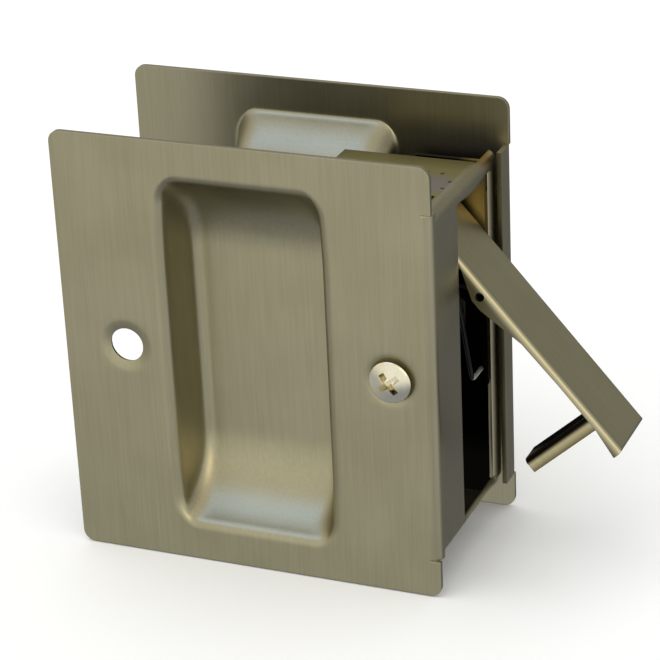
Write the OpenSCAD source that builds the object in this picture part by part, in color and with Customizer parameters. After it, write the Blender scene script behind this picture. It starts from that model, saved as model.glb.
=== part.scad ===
// Pocket door lock, passage type: two flush finger pulls joined over a notch in the door's edge,
// with a pull that swings out of the edge. It is drawn with the edge pull swung open.
// Origin: middle of the door's edge face, half way through the door and half way up the plates.
// +X points out of the door's edge, +Y from the front plate to the rear plate, +Z up.

/* [Plates] */
// Width of the front plate
plate_w = 69.85; // [66:0.05:76]
// Height of both plates
plate_h = 80; // [76:0.5:90]
// Corner radius of the plates
plate_corner = 2.1; // [1:0.1:4]
// Thickness of the plate sheet
sheet = 0.85; // [0.6:0.05:1.1]
// Thickness of the door that the plates clamp
door_t = 34.9; // [34:0.1:38]
// How far the rear plate stands past the front plate, away from the door's edge
rear_lap = 0.85; // [0.3:0.05:1.5]
// How far it stands past the door's edge
rear_edge_lap = 1.5; // [1.1:0.05:2]

/* [Finger cups] */
// Width of a cup's mouth
cup_w = 29.8; // [26:0.1:32]
// Length of a cup's mouth
cup_l = 65.6; // [58:0.1:67]
// Depth of a cup
cup_depth = 9.3; // [6:0.1:10]
// Distance from the door's edge to the middle of the cups
cup_inset = 34.8; // [33:0.1:37]
// Radius of the curved ends of a cup's floor
cup_end_r = 16; // [12:0.5:22]
// Draft of a cup's long walls, in degrees
cup_draft = 11; // [5:0.5:15]
// Radius where a cup's wall meets its floor
cup_floor_r = 1.4; // [0.8:0.1:2]
// Radius of a cup's rolled mouth
cup_lip_r = 2; // [1.4:0.1:2.6]
// Radius of a cup's corners in front view, inside the lip
cup_corner = 3.6; // [2.5:0.1:6]

/* [Edge case] */
// Height of the case that fills the notch
case_h = 64.6; // [62:0.1:68]
// How far the middle of the case lies below the middle of the plates
case_drop = 0.8; // [0:0.1:1.5]
// Outside radius of the bends in the front sheet
bend_r = 2; // [1.4:0.1:2.5]
// Length of the top and bottom flanges, from the door's edge inwards
flange_l = 25.5; // [18:0.5:30]
// Distance from the front plate's face to the flanges' near side
flange_cut_back = 9.2; // [7:0.1:10]
// Distance from the front plate's face to the flanges' far side
flange_reach = 26; // [22:0.5:30]
// Distance from the front plate's face to the far side of the edge face
edge_reach = 32.9; // [31.5:0.1:33.2]
// Width of the slot for the edge pull
slot_w = 14.6; // [13:0.1:16]
// Height of the edge face above the slot
slot_above = 3.2; // [2.5:0.1:4]
// Height of the edge face below the slot
slot_below = 1.3; // [1.3:0.1:3]
// Distance from the front plate's face to the middle of the slot
slot_from_front = 21.5; // [20:0.1:22.5]
// Rounding of the slot's outer edges
slot_round = 0.6; // [0.2:0.05:0.6]
// Depth of the rear plate's lip, measured from its outer face
lip_d = 2.4; // [2:0.1:3]

/* [Edge pull] */
// Gap between the pull and each side of the slot
pull_side_gap = 0.3; // [0.2:0.05:0.5]
// Gap between the closed pull's bottom end and the slot
pull_end_gap = 0.75; // [0.6:0.05:1.5]
// Gap between the closed pull's top end and the slot
pull_top_gap = 0.9; // [0.8:0.05:1.5]
// Thickness of the pull's sheet
pull_sheet = 0.8; // [0.6:0.05:1]
// Distance from the pull's face to its pivot
pivot_inset = 7.9; // [7:0.1:9]
// Distance from the pull's top end down to its pivot
pivot_drop = 12.6; // [11:0.1:13.5]
// Angle that the pull swings out, in degrees
open_angle = 41.5; // [30:0.5:43]
// Radius of the ears round the pivot
ear_r = 3.6; // [3:0.1:4]
// Reach of the catch blade behind the pull's face
blade_l = 18.5; // [14:0.1:18.6]
// Width of the catch blade
blade_w = 6.2; // [5:0.1:7]
// Height of the catch blade's top above the pull's lower end
blade_rise = 7.85; // [7:0.05:9]

/* [Pivot] */
// Diameter of the pivot pin
pin_d = 3; // [2.5:0.1:3.4]
// Gap between the pull and each wall of the pivot bracket
bracket_gap = 0.4; // [0.3:0.05:0.5]
// Diameter of the spring's wire
wire_d = 0.8; // [0.6:0.05:1]
// Whole turns in the spring
spring_turns = 5; // [3:1:7]

/* [Screws] */
// Distance from the cup's mouth to the farther screw
far_screw_gap = 8.3; // [7:0.1:9]
// Distance from the door's edge to the nearer screw
screw_inset = 8; // [7.5:0.1:9]
// Height of the screws above the middle of the plates
screw_rise = 0.75; // [-1:0.05:1.5]
// Diameter of the holes in the front plate
screw_hole_d = 6.2; // [5.8:0.1:6.6]
// Diameter of a screw
screw_d = 4.17; // [3.8:0.01:4.2]
// Diameter of a screw's head
head_d = 7.9; // [7.2:0.1:8.4]
// Diameter of the pressed dimple round a hole
dimple_d = 10; // [9.4:0.1:11]
// Length of a hole's wall, where pressing has thinned the sheet
hole_wall = 0.55; // [0.4:0.05:0.8]
// Depth of the dimple
dimple_depth = 0.45; // [0.3:0.05:0.8]
// Outside diameter of the threaded posts
post_d = 7; // [6:0.1:8]

/* [Hidden] */
$fn = 64;

// A little extra length for cutters, so that no cut ends flush with a face
over = 1;
// Clearance between parts that touch round a pin or a thread
fit = 0.05;

front_y = -door_t / 2 - sheet;
rear_y = door_t / 2 + sheet;
case_top = case_h / 2 - case_drop;
case_bottom = -case_h / 2 - case_drop;
slot_y = front_y + slot_from_front;
slot_top = case_top - slot_above;
slot_bottom = case_bottom + slot_below;
slot_h = slot_top - slot_bottom;
flange_y = front_y + flange_reach;
edge_y = front_y + edge_reach;
screw_x = -screw_inset;
far_screw_x = -cup_inset - cup_w / 2 - far_screw_gap;

pull_w = slot_w - 2 * pull_side_gap;
pivot_x = -pivot_inset;
pull_top = slot_top - pull_top_gap;
pivot_z = pull_top - pivot_drop;
pull_bottom = slot_bottom + pull_end_gap;

// Distance that the flanges' bends keep from the upright bend
bend_clear = 0.3;
// How far two solids that are joined reach into each other
lap = 0.02;

bracket_sheet = 0.85;
bracket_in = pull_w + 2 * bracket_gap;
bracket_out = bracket_in + 2 * bracket_sheet;
near_wall_y = slot_y - bracket_out / 2;
far_wall_y = slot_y + bracket_out / 2;

// Sheet-metal sections

// A bar that ends at x = 0, with the two corners there rounded
module soft_bar(w, depth, r) {
    translate([-depth, -w / 2]) square([depth - r, w]);
    translate([-depth, -w / 2 + r]) square([depth, w - 2 * r]);
    for (side = [-1, 1]) translate([-r, side * (w / 2 - r)]) circle(r);
}

// A bent channel whose web ends at x = 0 and whose sides run to -x
module channel(w, depth, t, r) {
    difference() {
        soft_bar(w, depth, r);
        translate([-t, 0]) soft_bar(w - 2 * t, depth, r - t);
    }
}

// An angle bend from the x axis side up the y axis side, its outside corner at the origin
module angle_bend(along_x, along_y, t, r) {
    difference() {
        intersection() {
            translate([-along_x, 0]) square([along_x, along_y]);
            union() {
                translate([-r, r]) circle(r);
                translate([-along_x, r]) square([along_x, along_y]);
                translate([-along_x, 0]) square([along_x - r, along_y]);
            }
        }
        union() {
            translate([-r, r]) circle(r - t);
            translate([-along_x - over, r]) square([along_x + over - t, along_y]);
            translate([-along_x - over, t]) square([along_x + over - r, along_y]);
        }
    }
}

// A plate in the XZ plane with rounded corners, its front face on y = 0
module rounded_plate(w, h, t, r) {
    rotate([-90, 0, 0]) linear_extrude(t) {
        square([w - 2 * r, h], center = true);
        square([w, h - 2 * r], center = true);
        for (x = [-1, 1], z = [-1, 1]) translate([x * (w / 2 - r), z * (h / 2 - r)]) circle(r);
    }
}

// Finger cup: the space inside it, grown by g all round. Its mouth lies on y = 0 and it deepens in +y.

cup_half_w = cup_w / 2;
cup_half_l = cup_l / 2;
// Centres of the lip's round at the long sides and at the ends, and of the floor's end curves
side_lip_x = cup_half_w - cup_lip_r * tan(cup_draft) + cup_lip_r / cos(cup_draft);
end_arc_z = cup_half_l - sqrt(pow(cup_end_r, 2) - pow(cup_end_r - cup_depth, 2));
end_lip_z = end_arc_z + sqrt(pow(cup_end_r + cup_lip_r, 2) - pow(cup_lip_r + cup_end_r - cup_depth, 2));
floor_fillet_x = cup_half_w - (cup_depth - cup_floor_r) * tan(cup_draft) - cup_floor_r / cos(cup_draft);

// Section across the cup
module cup_side_section(g) {
    wall_x = cup_half_w + g / cos(cup_draft);
    foot = [floor_fillet_x + (cup_floor_r + g) * cos(cup_draft),
            cup_depth - cup_floor_r + (cup_floor_r + g) * sin(cup_draft)];
    touch = [side_lip_x - (cup_lip_r - g) * cos(cup_draft), cup_lip_r - (cup_lip_r - g) * sin(cup_draft)];
    for (side = [0, 1]) mirror([side, 0]) {
        polygon([[0, -over], [wall_x + over * tan(cup_draft), -over], foot,
                 [floor_fillet_x, cup_depth + g], [0, cup_depth + g]]);
        translate([floor_fillet_x, cup_depth - cup_floor_r]) circle(cup_floor_r + g);
        difference() {
            polygon([[0, -over], [side_lip_x, -over], [side_lip_x, cup_lip_r], touch, [0, touch[1]]]);
            translate([side_lip_x, cup_lip_r]) circle(cup_lip_r - g);
        }
    }
}

// Section along the cup: a flat floor with a round sweep up to each end
module cup_end_section(g) {
    arc_y = cup_depth - cup_end_r;
    reach = cup_end_r + cup_lip_r;
    touch = [end_arc_z + (cup_end_r + g) * (end_lip_z - end_arc_z) / reach,
             arc_y + (cup_end_r + g) * (cup_lip_r - arc_y) / reach];
    for (side = [0, 1]) mirror([side, 0]) {
        translate([-over, -over]) square([end_arc_z + over, cup_depth + g + over]);
        intersection() {
            translate([end_arc_z, arc_y]) circle(cup_end_r + g, $fn = 96);
            translate([0, -over]) square([cup_half_l + cup_end_r, cup_depth + g + over]);
        }
        difference() {
            polygon([[end_arc_z, -over], [end_lip_z, -over], [end_lip_z, cup_lip_r], touch,
                     [end_arc_z, touch[1]]]);
            translate([end_lip_z, cup_lip_r]) circle(cup_lip_r - g);
        }
    }
}

// Half of the section that rounds the cup's corners in front view, with the lip at its mouth
module funnel_section(r, g) {
    translate([0, -over]) square([r - cup_lip_r + g, cup_depth + g + 2 * over]);
    difference() {
        translate([0, -over]) square([r, cup_lip_r + over]);
        translate([r, cup_lip_r]) circle(cup_lip_r - g);
    }
}

module cup_corner_form(g) {
    ease = 0.08;
    r = cup_corner + cup_lip_r;
    centre_x = side_lip_x + ease - r;
    centre_z = end_lip_z + ease - r;
    for (x = [-1, 1], z = [-1, 1]) translate([x * centre_x, 0, z * centre_z])
        rotate([-90, 0, 0]) rotate_extrude() funnel_section(r, g);
    translate([0, 0, -centre_z]) linear_extrude(2 * centre_z)
        for (side = [0, 1]) mirror([side, 0]) funnel_section(centre_x + r, g);
    rotate([0, 90, 0]) translate([0, 0, -centre_x]) linear_extrude(2 * centre_x)
        for (side = [0, 1]) mirror([side, 0]) funnel_section(centre_z + r, g);
}

module cup_form(g) {
    intersection() {
        cup_corner_form(g);
        translate([0, 0, -plate_h / 2]) linear_extrude(plate_h) cup_side_section(g);
        rotate([0, 90, 0]) translate([0, 0, -plate_w / 2]) linear_extrude(plate_w) cup_end_section(g);
    }
}

// The outside of the cup behind the sheet
module cup_shell() {
    intersection() {
        cup_form(sheet);
        translate([-plate_w / 2, sheet / 2, -plate_h / 2]) cube([plate_w, cup_depth + sheet, plate_h]);
    }
}

// Dimple round a screw hole, along y, with its face on y = 0
module dimple_back() {
    rotate([-90, 0, 0]) {
        cylinder(h = dimple_depth + hole_wall, r1 = dimple_d / 2 + sheet / 2, r2 = screw_hole_d / 2 + sheet);
    }
}

module dimple_cut() {
    rotate([-90, 0, 0]) {
        cylinder(h = dimple_depth, r1 = dimple_d / 2, r2 = screw_hole_d / 2 + 0.15);
        translate([0, 0, -over]) cylinder(h = dimple_depth + sheet + 2 * over, d = screw_hole_d);
        translate([0, 0, -over]) cylinder(h = over + 0.01, d = dimple_d);
    }
}

// Front half: plate, edge face and flanges, all bent from one sheet

module front_plate_blank() {
    difference() {
        translate([-plate_w / 2, front_y, 0]) rounded_plate(plate_w, plate_h, sheet, plate_corner);
        translate([-bend_r, front_y - over, case_bottom + lap])
            cube([bend_r + over, sheet + 2 * over, case_h - 2 * lap]);
    }
}

module edge_face() {
    translate([0, front_y, case_bottom + bend_r]) linear_extrude(case_h - 2 * bend_r)
        angle_bend(bend_r + over, edge_reach, sheet, bend_r);
    // The upright bend alone runs on to the case's top and bottom
    translate([0, front_y, case_bottom]) linear_extrude(case_h) intersection() {
        angle_bend(bend_r + over, edge_reach, sheet, bend_r);
        translate([-bend_r - over, -over]) square([bend_r + 2 * over, over + bend_r + bend_clear + lap]);
    }
}

// A flange and its bend. The flange is cut back behind the front plate, and only the bend runs the
// whole depth of the edge face.
module flange() {
    start = front_y + bend_r + bend_clear;
    for (part = [[flange_l, front_y + flange_cut_back, flange_y], [bend_r + 0.5, start, flange_y],
                 [bend_r * 0.7, flange_y - over, edge_y]])
        intersection() {
            translate([0, part[2], 0]) rotate([90, 0, 0]) linear_extrude(part[2] - part[1])
                mirror([0, 1]) translate([0, -case_top]) angle_bend(flange_l, bend_r + over, sheet, bend_r);
            translate([-part[0], front_y, case_top - bend_r - lap])
                cube([part[0] + over, door_t, bend_r + over]);
        }
}

module slot_cut() {
    soft = slot_round;
    translate([0, slot_y, slot_bottom]) linear_extrude(slot_h) {
        translate([-sheet - over, -slot_w / 2]) square([sheet + 2 * over, slot_w]);
        for (side = [0, 1]) mirror([0, side]) difference() {
            translate([-soft, slot_w / 2 - over]) square([soft + over, soft + over]);
            translate([-soft, slot_w / 2 + soft]) circle(soft);
        }
    }
}

module front_case() {
    color([0.66, 0.63, 0.54]) difference() {
        union() {
            front_plate_blank();
            edge_face();
            flange();
            mirror([0, 0, 1]) translate([0, 0, 2 * case_drop]) flange();
            translate([-cup_inset, front_y, 0]) cup_shell();
            for (x = [screw_x, far_screw_x]) translate([x, front_y, screw_rise]) dimple_back();
        }
        slot_cut();
        translate([clip_x + clip_w / 2, slot_y, case_bottom - over]) cylinder(h = 3 * over, d = 2.5);
        translate([-cup_inset, front_y, 0]) cup_form(0);
        for (x = [screw_x, far_screw_x]) translate([x, front_y, screw_rise]) dimple_cut();
    }
}

// Rear half: plate with its own cup, and a lip along the door's edge

module rear_plate() {
    w = plate_w + rear_lap + rear_edge_lap;
    lip_r = bend_r * 0.8;
    color([0.60, 0.57, 0.48]) difference() {
        union() {
            difference() {
                translate([rear_edge_lap - w / 2, rear_y - sheet, 0])
                    rounded_plate(w, plate_h, sheet, plate_corner);
                translate([rear_edge_lap - lip_r, rear_y - sheet - over, case_bottom])
                    cube([lip_r + over, sheet + 2 * over, case_h]);
            }
            translate([rear_edge_lap, rear_y, case_bottom]) mirror([0, 1, 0]) linear_extrude(case_h)
                angle_bend(lip_r + lap, lip_d, sheet, lip_r);
            translate([-cup_inset, rear_y, 0]) mirror([0, 1, 0]) cup_shell();
        }
        translate([-cup_inset, rear_y, 0]) mirror([0, 1, 0]) cup_form(0);
    }
}

// Edge pull, drawn closed and then swung open about its pivot

// A point of the pull's side view: s down from the pivot, d in from the pull's face
function side_pt(s, d) = [-d, pivot_z - s];

lug_d = 3.5;
cheek_d = 1.3;

module cheek_outline() {
    top = pivot_z - pull_top;
    bottom = pivot_z - pull_bottom;
    end_r = 0.9;
    difference() {
        union() {
            polygon([side_pt(-(pull_top - pivot_z), 0), side_pt(-(pull_top - pivot_z), 3.7),
                     side_pt(-ear_r, pivot_inset), side_pt(ear_r, pivot_inset), side_pt(3.4, 1.9),
                     side_pt(3.9, 1.15), side_pt(9.4, lug_d), side_pt(11.6, lug_d), side_pt(20.5, 1.55),
                     side_pt(30, cheek_d), side_pt(bottom - 6, cheek_d), side_pt(bottom, 2.1),
                     side_pt(bottom, 0)]);
            translate([pivot_x, pivot_z]) circle(ear_r);
        }
        difference() {
            translate([-end_r, pull_bottom - over]) square([end_r + over, end_r + over]);
            translate([-end_r, pull_bottom + end_r]) circle(end_r);
        }
    }
}

module closed_pull() {
    depth = pivot_inset + ear_r + over;
    difference() {
        intersection() {
            translate([0, slot_y, pull_bottom]) {
                linear_extrude(pull_top - pull_bottom) channel(pull_w, depth, pull_sheet, 1.2);
                linear_extrude(pull_sheet) soft_bar(pull_w, 2.1, 1.2);
            }
            translate([0, slot_y, 0]) rotate([90, 0, 0]) linear_extrude(pull_w + over, center = true)
                cheek_outline();
        }
        translate([pivot_x, slot_y, pivot_z]) rotate([90, 0, 0])
            cylinder(h = pull_w + over, d = pin_d + 2 * fit, center = true);
        translate([-1.9, slot_y, pivot_z - 9.7]) rotate([90, 0, 0])
            cylinder(h = pull_w + over, d = 1.7, center = true);
    }
}

module swing_open() {
    translate([pivot_x, 0, pivot_z]) rotate([0, -open_angle, 0]) translate([-pivot_x, 0, -pivot_z]) children();
}

module edge_pull() {
    color([0.72, 0.68, 0.57]) swing_open() closed_pull();
}

// Blade welded behind the pull's face: an upturned channel with a foot, that the catch clip grips

blade_top = pull_bottom + blade_rise;
blade_h = 2.8;
foot_h = 5;

module closed_blade() {
    foot_w = blade_w - 1.6;
    translate([-pull_sheet, slot_y, blade_top]) {
        rotate([-90, 0, 90]) linear_extrude(blade_l - pull_sheet)
            rotate(-90) channel(blade_w, blade_h, pull_sheet, 0.9);
        translate([-pull_sheet, -foot_w / 2, -pull_sheet]) cube([pull_sheet, foot_w, foot_h + pull_sheet]);
    }
}

module catch_blade() {
    color([0.66, 0.62, 0.50]) swing_open() closed_blade();
}

// Bracket that carries the pivot pin, welded behind the edge face and under the top flange

bracket_top = case_top - sheet;
// The open pull's top corner stops just short of the bracket's back
stop_x = pivot_x + (pull_top - pivot_z) * -sin(open_angle) + (pivot_inset - 3.7) * cos(open_angle);
bracket_back = stop_x - pull_side_gap - bracket_sheet;
// How far the bracket and the spring's hook reach below the pivot
bracket_drop = 9;
hook_drop = 23.9;
hook_inset = 2.1;
bracket_low = pivot_z - bracket_drop;
spring_foot = [-hook_inset, pivot_z - hook_drop];

module bracket_side(low, leg_low, leg_w) {
    r = 2;
    translate([bracket_back, 0, low]) cube([-sheet - bracket_back, bracket_sheet, bracket_top - low]);
    if (leg_low < low)
        translate([-sheet - leg_w, 0, leg_low]) cube([leg_w, bracket_sheet, low - leg_low + r]);
}

module pivot_bracket() {
    tab = bracket_sheet;
    top_tab = 4;
    color([0.62, 0.54, 0.36]) difference() {
        union() {
            translate([bracket_back, slot_y, bracket_low]) mirror([1, 0, 0])
                linear_extrude(bracket_top - bracket_low)
                channel(bracket_out, 3, bracket_sheet, 1.4);
            for (wall = [[near_wall_y, bracket_low], [far_wall_y - bracket_sheet, spring_foot[1] - 3]])
                translate([0, wall[0], 0]) intersection() {
                    bracket_side(bracket_low, wall[1], 4);
                    translate([bracket_back + 1.4, -over, wall[1] - over])
                        cube([-bracket_back, 3 * over, case_h]);
                }
            translate([-sheet - tab, near_wall_y - 6, bracket_low + 2])
                cube([tab, 6 + tab / 2, bracket_top - bracket_low - 6]);
            translate([-sheet - tab, far_wall_y - tab / 2, spring_foot[1]])
                cube([tab, edge_y - far_wall_y + tab / 2 - 0.5, bracket_top - spring_foot[1] - 6]);
            translate([bracket_back + 2, near_wall_y - top_tab, bracket_top - tab])
                cube([8, top_tab + tab / 2, tab]);
        }
        translate([pivot_x, slot_y, pivot_z]) rotate([90, 0, 0])
            cylinder(h = bracket_out + over, d = pin_d + 0.02, center = true);
        translate([spring_foot[0], far_wall_y, spring_foot[1]]) rotate([90, 0, 0])
            cylinder(h = 4 * over, d = wire_d + 0.3, center = true);
    }
}

pin_head_t = 0.8;
clip_t = 0.6;
pin_end = far_wall_y + 2.1;

module pivot_pin() {
    color([0.75, 0.74, 0.72]) translate([pivot_x, near_wall_y, pivot_z]) rotate([-90, 0, 0]) difference() {
        union() {
            translate([0, 0, -pin_head_t]) cylinder(h = pin_head_t, d = pin_d + 2.2);
            cylinder(h = pin_end - near_wall_y, d = pin_d);
        }
        translate([0, 0, bracket_out + fit]) difference() {
            cylinder(h = clip_t + 0.1, d = pin_d + 1);
            translate([0, 0, -over]) cylinder(h = clip_t + 2 * over, d = pin_d - 0.8);
        }
        translate([0, 0, pin_end - near_wall_y - 0.3]) difference() {
            cylinder(h = over, d = pin_d + 1);
            translate([0, 0, -0.001]) cylinder(h = 0.31, d1 = pin_d, d2 = pin_d - 0.6);
        }
    }
}

// Retaining ring in the pin's groove, open on one side
module pin_clip() {
    inner = pin_d - 0.8 + 2 * fit;
    color([0.35, 0.35, 0.36]) translate([pivot_x, far_wall_y + fit, pivot_z]) rotate([-90, 0, 0])
        linear_extrude(clip_t) difference() {
            circle(d = pin_d + 3);
            circle(d = inner);
            translate([0, -inner / 2 + 0.15]) square([pin_d + 3, inner - 0.3]);
            for (turn = [60, 180, 300]) rotate(turn) translate([pin_d / 2 + 0.35, 0]) circle(0.55);
        }
}

// Torsion spring on the pin: one leg lies behind the pull's face, the other hooks into the bracket

coil_r = pin_d / 2 + 0.3 + wire_d / 2;
coil_pitch = wire_d + 0.12;
wire_sides = 8;
leg_run = 14;
// End of the leg behind the open pull's face, seen from the pivot
leg_in = pivot_inset - pull_sheet - wire_d / 2 - 0.02;
leg_end = [leg_in * cos(open_angle) + leg_run * sin(open_angle),
           leg_in * sin(open_angle) - leg_run * cos(open_angle)];
hook_end = [spring_foot[0] - pivot_x, spring_foot[1] - pivot_z];
// Where each leg leaves the coil on a tangent, in degrees round the pin from +X
coil_start = atan2(leg_end[1], leg_end[0]) - acos(coil_r / norm(leg_end));
hook_turn = atan2(hook_end[1], hook_end[0]) + acos(coil_r / norm(hook_end));
coil_end = hook_turn - 360 * spring_turns;
coil_len = (coil_start - coil_end) / 360 * coil_pitch;
hook_y = slot_y + 2.5;
coil_y = hook_y - coil_len;
steps = 20 * spring_turns;

function coil_pt(a, y) = [pivot_x + coil_r * cos(a), y, pivot_z + coil_r * sin(a)];
hook_top = coil_pt(coil_end, hook_y);
hook_foot = [spring_foot[0], hook_y, spring_foot[1]];
spring_path = concat(
    [[pivot_x + leg_end[0], coil_y, pivot_z + leg_end[1]]],
    [for (i = [0 : steps])
        coil_pt(coil_start + (coil_end - coil_start) * i / steps, coil_y + coil_len * i / steps)],
    [hook_foot + 0.8 * unit(hook_top - hook_foot),
     hook_foot + 0.25 * unit(hook_top - hook_foot) + [0, 0.25, 0],
     hook_foot + [0, 0.8, 0],
     [spring_foot[0], far_wall_y + 0.6, spring_foot[1]]]);

function unit(v) = v / norm(v);
function tangent(p, i) = unit(p[min(i + 1, len(p) - 1)] - p[max(i - 1, 0)]);
// Side directions of the wire, kept square to the path without twisting at its bends
function sides_of(p, i = 0, done = []) = i == len(p) ? done
    : let (t = tangent(p, i), s = i == 0 ? unit(cross(t, [0, 1, 0])) : done[i - 1])
        sides_of(p, i + 1, concat(done, [unit(s - (s * t) * t)]));

module wire(p, d, n) {
    sides = sides_of(p);
    rings = [for (i = [0 : len(p) - 1], k = [0 : n - 1])
        let (t = tangent(p, i), s = sides[i], up = cross(t, s))
        p[i] + d / 2 * (cos(360 * k / n) * s + sin(360 * k / n) * up)];
    last = len(p) - 1;
    polyhedron(rings, concat(
        [[for (k = [0 : n - 1]) n - 1 - k]],
        [[for (k = [0 : n - 1]) last * n + k]],
        [for (i = [0 : last - 1], k = [0 : n - 1])
            let (next = (k + 1) % n)
            [i * n + k, i * n + next, (i + 1) * n + next, (i + 1) * n + k]]));
}

module pull_spring() {
    color([0.55, 0.55, 0.56]) wire(spring_path, wire_d, wire_sides);
}

// Spring clip on the bottom flange that grips the catch arm when the pull is closed

clip_sheet = 0.5;
clip_gap = 0.35;
clip_w = 5;
clip_x = -14.5;
flange_floor = case_bottom + sheet;

// Section of the clip: two arms that pinch in and flare out again at their tips
module clip_section() {
    half = blade_w / 2 + clip_gap;
    base = half + 1.1;
    crest = blade_top - flange_floor - blade_h / 2;
    tip = crest + 3.4;
    foot = base - clip_sheet - 0.1;
    polygon([[-base, 0], [base, 0], [half + clip_sheet, crest], [base, tip], [base - clip_sheet, tip],
             [half, crest], [foot, clip_sheet], [-foot, clip_sheet], [-half, crest],
             [clip_sheet - base, tip], [-base, tip], [-half - clip_sheet, crest]]);
}

module catch_clip() {
    color([0.45, 0.46, 0.48]) difference() {
        translate([clip_x, slot_y, flange_floor]) rotate([90, 0, 90]) linear_extrude(clip_w) clip_section();
        translate([clip_x + clip_w / 2, slot_y, flange_floor - over]) cylinder(h = 3 * over, d = 2.5);
    }
}

module rivet_head(d, h) {
    r = (d * d / 4 + h * h) / (2 * h);
    intersection() {
        translate([0, 0, h - r]) sphere(r);
        cylinder(h = h, d = d);
    }
}

module catch_rivet() {
    color([0.6, 0.6, 0.6]) translate([clip_x + clip_w / 2, slot_y, 0]) {
        translate([0, 0, case_bottom]) cylinder(h = sheet + clip_sheet, d = 2.4);
        translate([0, 0, flange_floor + clip_sheet]) rivet_head(4, 1);
        translate([0, 0, case_bottom]) mirror([0, 0, 1]) rivet_head(3.8, 0.8);
    }
}

// Screw through the front plate near the edge, and the two posts on the rear plate that take the screws

post_l = door_t / 2 - (far_wall_y + 0.4);
head_slope = 82 / 2;
head_dome = 1.1;
// Depth below the plate's face at which the head's cone seats on the hole's edge
head_rim_y = front_y + dimple_depth - (head_d / 2 - screw_hole_d / 2 + 0.02) / tan(head_slope);
cone_h = (head_d - screw_d) / 2 / tan(head_slope);
dome_r = (pow(head_d / 2, 2) + pow(head_dome, 2)) / (2 * head_dome);

module case_screw() {
    tip = door_t / 2 - 0.8;
    color([0.80, 0.78, 0.72]) translate([screw_x, head_rim_y, screw_rise]) rotate([-90, 0, 0]) difference() {
        union() {
            cylinder(h = cone_h, d1 = head_d, d2 = screw_d);
            cylinder(h = tip - head_rim_y, d = screw_d);
            intersection() {
                translate([0, 0, dome_r - head_dome]) sphere(dome_r);
                translate([0, 0, -head_dome]) cylinder(h = head_dome + 0.01, d = head_d);
            }
        }
        for (turn = [53, 143]) rotate(turn) translate([-1.95, -0.45, -head_dome - over]) cube([3.9, 0.9, 2.2 + over]);
    }
}

module post(x) {
    color([0.66, 0.60, 0.45]) translate([x, door_t / 2, screw_rise]) rotate([90, 0, 0]) difference() {
        union() {
            cylinder(h = post_l, d = post_d);
            cylinder(h = 0.6, d = post_d + 1.6);
        }
        translate([0, 0, 0.6]) cylinder(h = post_l, d = screw_d + 2 * fit);
    }
}

module edge_side_post() { post(screw_x); }

module far_side_post() { post(far_screw_x); }

front_case();
rear_plate();
edge_pull();
catch_blade();
pivot_bracket();
pivot_pin();
pin_clip();
pull_spring();
catch_clip();
catch_rivet();
case_screw();
edge_side_post();
far_side_post();
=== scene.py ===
# %% [markdown]
# # A pocket door lock in satin nickel
#
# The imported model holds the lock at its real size. Here it gets its looks: the brushed and plated
# metal, the soft bends of the pressed sheet, and the small hardware. We start by loading the model
# as a fixed frame, and every piece that we make goes where that frame says.

# %% Load the frame
import math

import bpy
from mathutils import Matrix, Vector


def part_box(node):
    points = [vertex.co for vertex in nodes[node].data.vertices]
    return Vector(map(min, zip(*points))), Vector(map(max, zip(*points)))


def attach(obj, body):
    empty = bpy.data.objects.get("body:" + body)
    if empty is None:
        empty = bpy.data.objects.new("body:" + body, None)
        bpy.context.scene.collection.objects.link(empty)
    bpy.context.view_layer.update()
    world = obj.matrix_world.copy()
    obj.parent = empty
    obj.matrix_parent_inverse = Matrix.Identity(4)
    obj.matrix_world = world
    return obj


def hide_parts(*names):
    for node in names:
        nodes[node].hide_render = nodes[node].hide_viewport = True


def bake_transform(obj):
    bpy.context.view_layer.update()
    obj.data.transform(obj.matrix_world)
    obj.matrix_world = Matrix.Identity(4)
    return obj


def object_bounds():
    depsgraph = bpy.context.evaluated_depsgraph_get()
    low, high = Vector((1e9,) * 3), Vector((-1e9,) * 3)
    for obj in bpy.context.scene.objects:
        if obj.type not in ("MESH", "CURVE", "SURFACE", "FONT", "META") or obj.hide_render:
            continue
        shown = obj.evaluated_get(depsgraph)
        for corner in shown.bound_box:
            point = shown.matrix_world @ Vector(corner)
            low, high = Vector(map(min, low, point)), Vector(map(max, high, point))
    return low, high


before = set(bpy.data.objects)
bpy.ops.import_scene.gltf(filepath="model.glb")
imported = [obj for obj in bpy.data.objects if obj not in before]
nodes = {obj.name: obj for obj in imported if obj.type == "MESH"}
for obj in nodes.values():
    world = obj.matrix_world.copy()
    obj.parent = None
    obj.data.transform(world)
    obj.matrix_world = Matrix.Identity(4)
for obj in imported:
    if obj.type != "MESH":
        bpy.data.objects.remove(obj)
cad_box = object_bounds()
MM = 0.001
print("nodes", sorted(nodes))

# %% [markdown]
# ## Camera
#
# The lock is seen from a little above and from the right of the front plate. A long lens keeps the
# plates' sides nearly parallel, as in a product picture taken from some way off. We give the camera
# its place and the angles that it is turned, tilted and rolled by, and Blender works out the rest.

# %% Camera
CAMERA_PLACE_MM = (142.17, -391.84, 191.99)
CAMERA_TURN = math.radians(23.31)
CAMERA_TILT = math.radians(24.24)
CAMERA_ROLL = math.radians(2.74)
LENS_MM = 143.5
NEAREST_SEEN = 0.01
FURTHEST_SEEN = 20


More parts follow.
